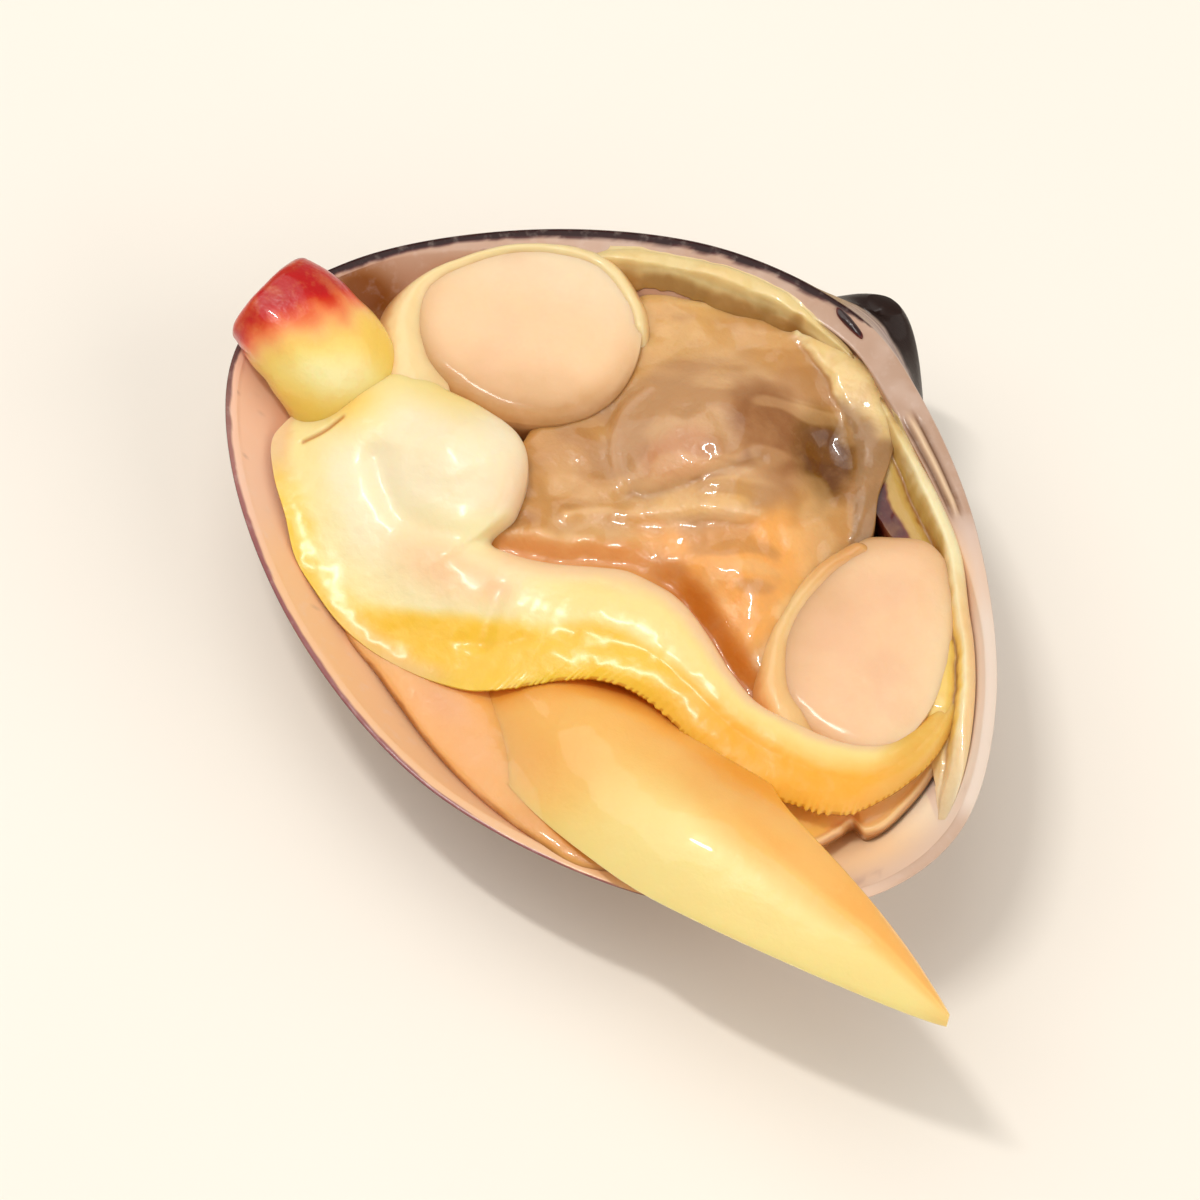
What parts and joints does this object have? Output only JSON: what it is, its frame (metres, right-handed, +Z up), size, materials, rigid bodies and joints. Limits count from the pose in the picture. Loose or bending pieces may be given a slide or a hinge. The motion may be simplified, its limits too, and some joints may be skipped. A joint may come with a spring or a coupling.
{
  "type": "clam in shell",
  "caption": "Clam opened on its half shell: rounded valve holding the muscles, mantle, siphon and visceral mass, with the pointed foot hanging over the edge.",
  "frame": {"origin": "on the surface it rests on, under the middle of its bounding box", "axes": "+X along the valve from the siphon end towards the foot's tip, +Y from the opening side to the hinge, +Z up"},
  "size_m": [0.0898, 0.0634, 0.0225],
  "materials": {
    "valve": "smooth pale pink and lilac inside, ribbed and matt outside, purple-brown line on the edge",
    "ligament": "dark and horny",
    "posterior_adductor": "wet, cream pink, faintly see-through",
    "anterior_adductor": "wet, pink, faintly see-through",
    "posterior_collar": "wet cream membrane",
    "anterior_collar": "wet cream membrane",
    "visceral_mass": "wet, tan with a pink grey dome and olive brown patches",
    "mantle_edge": "wet, pale cream to yellow orange at its toothed lower edge",
    "mantle_lining": "wet thin skin, peach orange",
    "mantle_strip": "wet pale yellow membrane",
    "siphon": "wet, yellow at the root through orange to red at the end",
    "foot": "wet, orange at the root, pale yellow on its near side"
  },
  "bodies": {
    "root": {"valve": "valve", "ligament": "ligament", "posterior_adductor": "posterior_adductor", "anterior_adductor": "anterior_adductor", "posterior_collar": "posterior_collar", "anterior_collar": "anterior_collar", "visceral_mass": "visceral_mass", "mantle_edge": "mantle_edge", "mantle_lining": "mantle_lining", "mantle_strip": "mantle_strip", "siphon": "siphon", "foot": "foot"}
  },
  "joints": []
}
